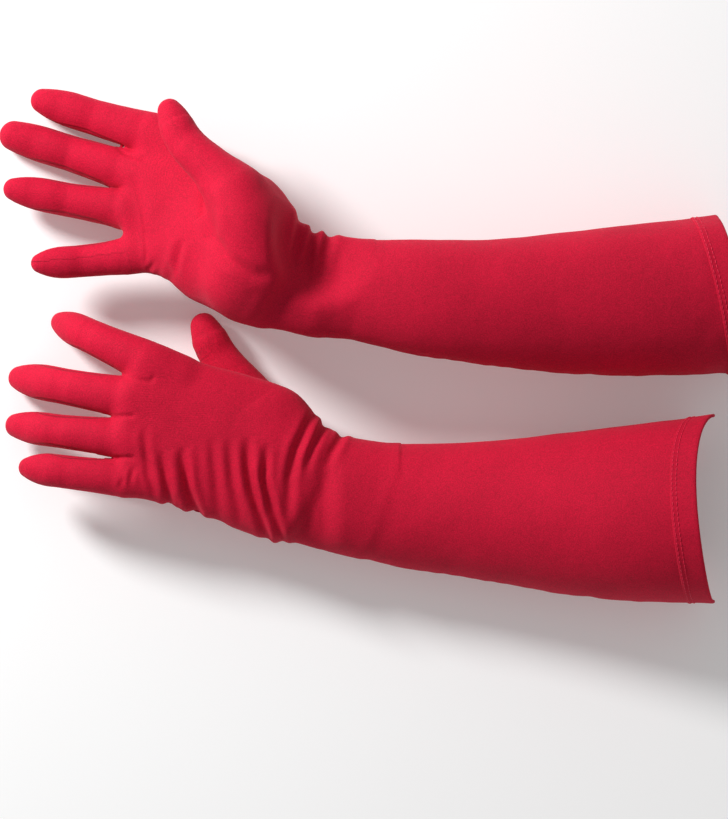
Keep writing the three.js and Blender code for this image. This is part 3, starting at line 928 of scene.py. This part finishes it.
def glove_skin(glove):
    names = [node for node in frame["nodes"] if node.startswith(glove.side)]
    low = np.min([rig.box(node)[0] for node in names], axis=0) * MM - 6
    high = np.max([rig.box(node)[1] for node in names], axis=0) * MM + 14
    vertices, quads = surface_net(glove, low, high)
    edges = edges_of(quads)
    for rounds in (1, 2):
        vertices = 0.5 * (vertices + neighbour_mean(vertices, edges))
        vertices, normals = settle(glove, vertices, rounds)
    rest = vertices.copy()
    vertices = vertices + normals * displacement(glove, vertices, normals)[:, None]
    angle = sleeve_angle(glove, rest)
    hem = glove.sleeve_end + mouth_shift(glove, angle) - HEM_WIDTH
    under_hem = HEM_OUT * ease(rest[:, 0] - hem, -4, 0)
    vertices[:, 2] = np.maximum(vertices[:, 2], CLEARANCE + under_hem)
    normals = mesh_normals(vertices, quads)
    attributes = {
        "rest": rest / MM,
        "knit": np.stack([angle * KNIT_RADIUS, rest[:, 0], 0 * angle], 1) / MM,
        "seam": seam_distance(glove, rest),
    }
    return dict(vertices=vertices, normals=normals, quads=quads, rest=rest, attributes=attributes)


def wrist_line(glove):
    x = glove.wrist[0] + WRIST_ZONE
    arm = np.array([x, glove.sleeve_shape[0](np.array([x]))[0], glove.sleeve_shape[1](np.array([x]))[0]])
    hand = glove.from_hand([WRIST_ZONE, glove.palm_shape[0](np.array([WRIST_ZONE]))[0], 0])
    return arm, hand


def sort_faces(glove, skin):
    """Which piece each quad belongs to: its name for each, and where the pieces bend."""
    middle = skin["rest"][skin["quads"]].mean(1)
    labels = np.full(len(middle), "hand", dtype="<U16")
    arm, hand = wrist_line(glove)
    t = (middle - arm) @ (hand - arm) / ((hand - arm) @ (hand - arm))
    margin = CUT / np.linalg.norm(hand - arm)
    labels[t < 1 + margin] = "wrist"
    labels[t < -margin] = "sleeve"
    near = glove.to_hand(middle)[:, 0] > 10
    fields = {name: digit.field(middle[near]) for name, digit in glove.digits.items()}
    fields["thumb"] = glove.thumb_field(middle[near])[::2]
    names = list(fields)
    distance = np.stack([fields[name][0] for name in names])
    along = np.stack([fields[name][1] for name in names])
    closest = distance.argmin(0)
    own = labels[near]
    thumb = names.index("thumb")
    apart = distance[thumb] < glove.hand_field(middle[near]) + 0.3
    for i, name in enumerate(names):
        mine = (closest == i) & (distance[i] < 3)
        if i == thumb:
            mine &= apart
        zone = THUMB_ZONE if name == "thumb" else ROOT_ZONE
        own[mine & (along[i] > zone[0] - CUT)] = f"{name}_root"
        own[mine & (along[i] > zone[1] + CUT)] = f"{name}_tip"
    labels[near] = own
    edge = glove.sleeve_end + mouth_shift(glove, sleeve_angle(glove, middle))
    labels[(middle[:, 0] > edge - 3)] = "cut"
    return labels


def joined(arm, hand):
    return dict(start=tuple(arm / MM), end=tuple(hand / MM))


def add_skin(glove, material):
    side = glove.side
    skin = glove_skin(glove)
    labels = sort_faces(glove, skin)
    sleeve = shell(f"{side}_sleeve_knit", skin, labels == "sleeve", material)
    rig.ride(sleeve, f"{side}_arm")
    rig.replaces(sleeve, f"{side}_sleeve")
    wrist = shell(f"{side}_wrist_knit", skin, labels == "wrist", material)
    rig.blend(wrist, f"{side}_arm", f"{side}_hand", **joined(*wrist_line(glove)))
    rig.replaces(wrist, f"{side}_wrist_fold")
    hand = shell(f"{side}_hand_knit", skin, labels == "hand", material)
    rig.ride(hand, f"{side}_hand")
    webs = [f"{side}_fourchette_{pair}" for pair in ("index_middle", "middle_ring", "ring_little")]
    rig.replaces(hand, f"{side}_palm_panel", f"{side}_back_panel", *webs)
    pieces = [sleeve, wrist, hand]
    for name, digit in glove.digits.items():
        body = f"{side}_{name}"
        thumb = name == "thumb"
        zone = THUMB_ZONE if thumb else ROOT_ZONE
        origin = digit.root if thumb else digit.root - ROOT_HINGE * digit.d1
        root = shell(f"{side}_{name}_root_knit", skin, labels == f"{name}_root", material)
        ends = joined(origin + zone[0] * digit.d1, origin + zone[1] * digit.d1)
        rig.blend(root, f"{side}_hand", body, **ends)
        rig.replaces(root, f"{side}_{name}_root_fold")
        half = min(THUMB_KNUCKLE_ZONE if thumb else KNUCKLE_ZONE, digit.length - zone[1] - CUT)
        tip = shell(f"{side}_{name}_tip_knit", skin, labels == f"{name}_tip", material)
        ends = joined(digit.knee - half * digit.d1, digit.knee + half * digit.d2)
        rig.blend(tip, body, f"{body}_end", **ends)
        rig.replaces(tip, f"{side}_{name}_base", f"{side}_{name}_knuckle_fold", f"{side}_{name}_tip")
        pieces += [root, tip]
    for piece in pieces:
        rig.slot(piece, "knit")
    return skin


# ---- the turned hem, its stitching, and the seams ----


def sleeve_ring(glove, x, angle, offset):
    """Points of the sleeve at x and an angle round it, moved outward by offset."""
    y, z, half_width, half_height = (shape(x) for shape in glove.sleeve_shape)
    base = np.stack([x, y + half_width * np.cos(angle), z + half_height * np.sin(angle)], -1)
    out = np.stack([0 * x, np.cos(angle) / half_width, np.sin(angle) / half_height], -1)
    out /= np.linalg.norm(out, axis=-1)[..., None]
    flat = base.reshape(-1, 3)
    h = displacement(glove, flat, out.reshape(-1, 3)).reshape(x.shape)
    p = base + out * (offset + h)[..., None]
    p[..., 2] = np.maximum(p[..., 2], CLEARANCE + HEM_OUT - offset)
    return p


HEM_PROFILE = [  # distance from the stitched edge, and distance outward from the skin
    (0.1, -0.35), (0.0, 0.1), (0.3, 0.42), (1.0, 0.55), (2.2, 0.42), (5.0, 0.38), (9.0, 0.45),
    (12.6, 0.6), (14.0, 0.62), (14.7, 0.3), (14.9, -0.3), (14.7, -0.95), (14.0, -1.3),
    (12.6, -1.3), (9.0, -1.2), (5.0, -1.15), (2.2, -1.25), (1.0, -1.3), (0.3, -1.1),
]


HEM_ROWS = (1.3, 3.6)  # the two rows of stitches, from the hem's inner edge
HEM_SIDES = 260


def add_hem(glove, material):
    sides = HEM_SIDES
    angle = np.arange(sides) * 2 * math.pi / sides
    profile = np.array(HEM_PROFILE)
    turn, along = np.meshgrid(angle, profile[:, 0], indexing="ij")
    offset = np.meshgrid(angle, profile[:, 1], indexing="ij")[1]
    x = glove.sleeve_end + mouth_shift(glove, turn) - HEM_WIDTH + along
    vertices = sleeve_ring(glove, x, turn, offset).reshape(-1, 3)
    rows = len(profile)
    a = np.arange(sides)[:, None] * rows + np.arange(rows)[None]
    b = np.arange(sides)[:, None] * rows + (np.arange(rows)[None] + 1) % rows
    c, d = np.roll(b, -1, 0), np.roll(a, -1, 0)
    quads = np.stack([a, d, c, b], -1).reshape(-1, 4)
    attributes = {
        "rest": vertices / MM,
        "knit": np.stack([turn * KNIT_RADIUS, x, 0 * x], -1).reshape(-1, 3) / MM,
        "seam": side_seam(glove, vertices),
    }
    hem = build(f"{glove.side}_hem_band", vertices, [quads], material, None, attributes)
    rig.ride(hem, f"{glove.side}_arm")
    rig.replaces(hem, f"{glove.side}_cuff_hem")
    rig.slot(hem, "hem")
    return hem


def threads(name, paths, radius, material, sides=6):
    """One mesh of many short threads. Each path has the same number of points."""
    paths = np.asarray(paths)
    count, points, _ = paths.shape
    along = np.gradient(paths, axis=1)
    along /= np.linalg.norm(along, axis=2)[..., None]
    other = np.cross(along, paths - paths.mean(1)[:, None] + [0.13, 0.31, 1.7])
    other /= np.linalg.norm(other, axis=2)[..., None]
    third = np.cross(along, other)
    turn = np.arange(sides) * 2 * math.pi / sides
    size = radius * np.sin(np.linspace(0.5, math.pi - 0.5, points))[None, :, None, None] ** 0.5
    ring = other[:, :, None] * np.cos(turn)[:, None] + third[:, :, None] * np.sin(turn)[:, None]
    vertices = (paths[:, :, None] + size * ring).reshape(-1, 3)
    index = np.arange(len(vertices)).reshape(count, points, sides)
    a, b = index[:, :-1], index[:, 1:]
    quads = np.stack([a, np.roll(a, -1, 2), np.roll(b, -1, 2), b], -1).reshape(-1, 4)
    caps = np.concatenate([index[:, 0, ::-1], index[:, -1]])
    return build(name, vertices, [quads, caps], material, None, {"rest": vertices / MM})


def add_hem_stitches(glove, material):
    """Two rows of lockstitch outside the hem, and the zigzag between them inside."""
    start = glove.sleeve_end - HEM_WIDTH
    count = round(2 * math.pi * glove.sleeve_shape[2](np.array([start]))[0] / STITCH)
    paths = []
    for row in HEM_ROWS:
        for i in range(count):
            angle = (i + np.linspace(0.1, 0.9, 5)) * 2 * math.pi / count
            x = start + mouth_shift(glove, angle) + row
            paths.append(sleeve_ring(glove, x, angle, 0.36 + 0.2 * np.sin(np.linspace(0, math.pi, 5))))
    for i in range(2 * count):
        angle = (i + np.linspace(0.05, 0.95, 5)) * math.pi / count
        across = np.linspace(*(HEM_ROWS if i % 2 else HEM_ROWS[::-1]), 5)
        x = start + mouth_shift(glove, angle) + across
        paths.append(sleeve_ring(glove, x, angle, -1.25 - 0.3 * np.sin(np.linspace(0, math.pi, 5))))
    stitches = threads(f"{glove.side}_hem_stitches", paths, THREAD, material)
    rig.ride(stitches, f"{glove.side}_arm")
    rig.slot(stitches, "hem")


def allowance(name, base, inward, knit, thread):
    """The overlocked edge that stands inside a seam: a thin fin and its stitches."""
    along = np.gradient(base, axis=0)
    along /= np.linalg.norm(along, axis=1)[:, None]
    across = np.cross(along, inward)
    across /= np.linalg.norm(across, axis=1)[:, None]
    half = ALLOWANCE_THICKNESS / 2
    edge = SEAM_ALLOWANCE - 0.5
    profile = [(0, -half), (edge, -half), (SEAM_ALLOWANCE, 0), (edge, half), (0, half)]
    wave = 0.45 * np.sin(np.arange(len(base)) * 0.9) + 0.25 * value_noise(base, 6, 9)

    def place(rows, depth, side):
        depth, side = np.asarray(depth)[..., None], np.asarray(side)[..., None]
        lean = wave[rows][:, None, None] * depth / SEAM_ALLOWANCE
        beside = across[rows][:, None] * (side + lean)
        return base[rows][:, None] + inward[rows][:, None] * depth + beside

    depth, side = np.array(profile).T
    vertices = place(np.arange(len(base)), depth, side).reshape(-1, 3)
    index = np.arange(len(vertices)).reshape(len(base), len(profile))
    a, b = index[:-1], index[1:]
    quads = np.stack([a, np.roll(a, -1, 1), np.roll(b, -1, 1), b], -1).reshape(-1, 4)
    caps = np.stack([index[0, ::-1], index[-1]])
    attributes = {"rest": vertices / MM, "knit": vertices / MM, "seam": np.full(len(vertices), FAR)}
    fin = build(f"{name}_allowance", vertices, [quads, caps], knit, None, attributes)
    reach, out = SEAM_ALLOWANCE + 0.2, half + 0.15
    loop = [(0.5, out), (0.7 * reach, out), (reach, 0), (0.7 * reach, -out), (0.5, -out)]
    depth, side = np.array(loop).T
    paths = place(np.arange(1, len(base) - 1), depth, side)
    paths = paths + along[1:-1, None] * np.linspace(-0.5, 0.5, len(loop))[None, :, None]
    return fin, threads(f"{name}_overlock", paths, THREAD, thread, 5)


def add_seams(glove, knit, thread):
    side = glove.side
    x = np.arange(glove.wrist[0] + 16, glove.sleeve_end - HEM_WIDTH - 3, OVERLOCK)
    angle = np.full(len(x), math.pi)
    base = sleeve_ring(glove, x, angle, -SKIN + 0.1)
    inward = sleeve_ring(glove, x, angle, -SKIN - 1) - base
    inward /= np.linalg.norm(inward, axis=1)[:, None]
    for piece in allowance(f"{side}_sleeve_seam", base, inward, knit, thread):
        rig.ride(piece, f"{side}_arm")
        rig.replaces(piece, f"{side}_sleeve_seam")
        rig.slot(piece, "seam")

    x = np.arange(24, glove.digits["little"].root_x - 8, OVERLOCK)
    out = np.arange(0, 60, 0.5)
    grid = np.stack(np.broadcast_arrays(x[:, None], out[None], 0.0), -1)
    depth = glove.field(glove.from_hand(grid.reshape(-1, 3))).reshape(grid.shape[:2])
    reach = out[(depth > -SKIN - 0.2).argmax(1)]
    base = glove.from_hand(np.stack([x, reach - 0.3, 0 * x], 1))
    inward = np.broadcast_to(-glove.axes[1], base.shape)
    for piece in allowance(f"{side}_hand_seam", base, inward, knit, thread):
        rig.ride(piece, f"{side}_hand")
        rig.replaces(piece, f"{side}_hand_seam")
        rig.slot(piece, "seam")


# ---- materials ----


class Nodes:
    """Short ways to add nodes to a material and join them."""

    def __init__(self, name):
        self.material = bpy.data.materials.new(name)
        self.material.use_nodes = True
        self.tree = self.material.node_tree
        self.shader = self.tree.nodes["Principled BSDF"]

    def add(self, kind, settings=None, **inputs):
        node = self.tree.nodes.new(kind)
        for key, value in (settings or {}).items():
            setattr(node, key, value)
        for key, value in inputs.items():
            self.put(node.inputs[key.replace("_", " ")], value)
        return node

    def put(self, socket, value):
        if isinstance(value, bpy.types.NodeSocket):
            self.tree.links.new(value, socket)
        else:
            socket.default_value = value

    def math(self, operation, a, b=0.0, c=0.0):
        node = self.add("ShaderNodeMath", {"operation": operation})
        for socket, value in zip(node.inputs, (a, b, c)):
            self.put(socket, value)
        return node.outputs[0]

    def noise(self, vector, scale, detail=2.0, roughness=0.5):
        settings = dict(Vector=vector, Scale=scale, Detail=detail, Roughness=roughness)
        return self.add("ShaderNodeTexNoise", None, **settings).outputs["Fac"]

    def attribute(self, name, output="Vector"):
        return self.add("ShaderNodeAttribute", {"attribute_name": name}).outputs[output]

    def color(self, color, value):
        """The shader's base colour, made lighter or darker by a value near 1."""
        tint = self.add("ShaderNodeHueSaturation", None, Value=value, Color=(*color, 1))
        self.put(self.shader.inputs["Base Color"], tint.outputs["Color"])

    def ramp(self, value, low, high, to_low=0.0, to_high=1.0):
        node = self.add("ShaderNodeMapRange", None, Value=value)
        keys = ("From Min", "From Max", "To Min", "To Max")
        for key, number in zip(keys, (low, high, to_low, to_high)):
            node.inputs[key].default_value = number
        return node.outputs["Result"]


def knit_material(name, color, roughness=0.78):
    """A matt stretch knit: fine wales and a soft grain."""
    n = Nodes(name)
    rest, knit = n.attribute("rest"), n.attribute("knit")
    broad = n.noise(rest, 32, 2)
    mottle = n.noise(rest, 420, 2)
    grain = n.noise(rest, 1500, 2, 0.6)
    wales = n.add("ShaderNodeTexWave", {"bands_direction": "X", "wave_profile": "SIN"},
                  Vector=knit, Scale=620, Distortion=1.2, Detail=1, Detail_Scale=2).outputs["Fac"]
    courses = n.add("ShaderNodeTexWave", {"bands_direction": "Y", "wave_profile": "SIN"},
                    Vector=knit, Scale=520, Distortion=1.2, Detail=1, Detail_Scale=2).outputs["Fac"]
    value = n.math("ADD", n.ramp(broad, 0.3, 0.7, 0.93, 1.05), n.ramp(mottle, 0.3, 0.7, -0.035, 0.035))
    value = n.math("ADD", value, n.ramp(grain, 0.3, 0.7, -0.26, 0.26))
    value = n.math("MULTIPLY", value, n.ramp(wales, 0, 1, 0.97, 1.03))
    seam = n.math("ABSOLUTE", n.attribute("seam", "Fac"))
    groove = n.ramp(seam, 0.15, 0.6, 1, 0)
    ridge = n.math("MULTIPLY", n.ramp(seam, 0.5, 1.0), n.ramp(seam, 1.0, 1.9, 1, 0))
    # painted shade: the knit's colour is darkened by up to 0.4 along the seams' grooves, where shade falls
    value = n.math("MULTIPLY", value, n.math("MULTIPLY_ADD", groove, -0.4, 1))
    n.color(color, value)
    n.put(n.shader.inputs["Roughness"], n.ramp(grain, 0.3, 0.7, roughness - 0.06, roughness + 0.08))
    n.shader.inputs["Specular IOR Level"].default_value = 0.16
    n.shader.inputs["Sheen Weight"].default_value = 0.10
    n.shader.inputs["Sheen Roughness"].default_value = 0.45
    n.shader.inputs["Sheen Tint"].default_value = (1.0, 0.30, 0.38, 1)
    height = n.math("MULTIPLY_ADD", wales, 0.35, n.math("MULTIPLY", courses, 0.25))
    height = n.math("ADD", height, n.math("MULTIPLY", grain, 1.6))
    bump = n.add("ShaderNodeBump", None, Strength=0.55, Distance=0.00022, Height=height)
    sewn = n.math("MULTIPLY_ADD", ridge, 0.5, n.math("MULTIPLY", groove, -1))
    sewn_bump = n.add("ShaderNodeBump", None, Strength=0.8, Distance=0.0004, Height=sewn)
    n.put(sewn_bump.inputs["Normal"], bump.outputs["Normal"])
    n.put(n.shader.inputs["Normal"], sewn_bump.outputs["Normal"])
    return n.material


def thread_material(name, color):
    """Spun polyester thread, a little glossier than the knit."""
    n = Nodes(name)
    rest = n.attribute("rest")
    value = n.ramp(n.noise(rest, 900, 2), 0.3, 0.7, 0.82, 1.12)
    n.color(color, value)
    n.shader.inputs["Roughness"].default_value = 0.5
    n.shader.inputs["Specular IOR Level"].default_value = 0.35
    return n.material


# ---- making the pair ----

knit = knit_material("crimson_knit", (0.54, 0.0045, 0.032))
# painted light: the thread's colour is set lighter than the knit's, to offset the shade in which the stitches lie
thread = thread_material("crimson_thread", (0.75, 0.012, 0.06))
for side in GLOVES:
    glove = Glove(side)
    add_skin(glove, knit)
    add_hem(glove, knit)
    add_hem_stitches(glove, thread)
    add_seams(glove, knit, thread)

# ---- stage ----

CAMERA_DISTANCE = 10.0
VIEW_HEIGHT = 0.4586
VIEW_MIDDLE = (-0.00726, -0.03614, 0.04)
SENSOR = 36.0
FLOOR_REACH = 40.0

scene = bpy.context.scene
scene.view_settings.view_transform = "Standard"

floor_mesh = bpy.data.meshes.new("floor")
corners = [(x * FLOOR_REACH, y * FLOOR_REACH, 0) for x, y in ((-1, -1), (1, -1), (1, 1), (-1, 1))]
floor_mesh.from_pydata(corners, [], [(0, 1, 2, 3)])
floor = bpy.data.objects.new("floor", floor_mesh)
scene.collection.objects.link(floor)
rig.stage(floor)
floor_material = bpy.data.materials.new("pale_floor")
floor_material.use_nodes = True
floor_shader = floor_material.node_tree.nodes["Principled BSDF"]
floor_shader.inputs["Base Color"].default_value = (0.9, 0.9, 0.9, 1)
floor_shader.inputs["Emission Color"].default_value = (1, 1, 1, 1)
floor_shader.inputs["Emission Strength"].default_value = 0.14
floor_shader.inputs["Roughness"].default_value = 0.9
floor_mesh.materials.append(floor_material)

world = bpy.data.worlds.new("studio")
scene.world = world
world.use_nodes = True
world.node_tree.nodes["Background"].inputs["Color"].default_value = (1, 1, 1, 1)
world.node_tree.nodes["Background"].inputs["Strength"].default_value = 0.35


def area_light(name, position, aim, size, power):
    data = bpy.data.lights.new(name, "AREA")
    data.shape = "DISK"
    data.size = size
    data.energy = power
    light = bpy.data.objects.new(name, data)
    light.location = position
    light.rotation_euler = (Vector(aim) - Vector(position)).to_track_quat("-Z", "Y").to_euler()
    light.visible_camera = False
    scene.collection.objects.link(light)
    return light


area_light("key", (-1.18, 0.87, 0.88), (0, 0, 0.04), 0.4, 33)

camera_data = bpy.data.cameras.new("camera")
camera_data.sensor_width = SENSOR
camera_data.lens = SENSOR * CAMERA_DISTANCE / VIEW_HEIGHT
camera_data.clip_end = 100
camera = bpy.data.objects.new("camera", camera_data)
camera.location = Vector(VIEW_MIDDLE) + Vector((0, 0, CAMERA_DISTANCE))
scene.collection.objects.link(camera)
scene.camera = camera

size = {"cad": cad_box, "visual": [list(corner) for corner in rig.bounds()]}
with open("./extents.json", "w") as size_file:
    json.dump(size, size_file)
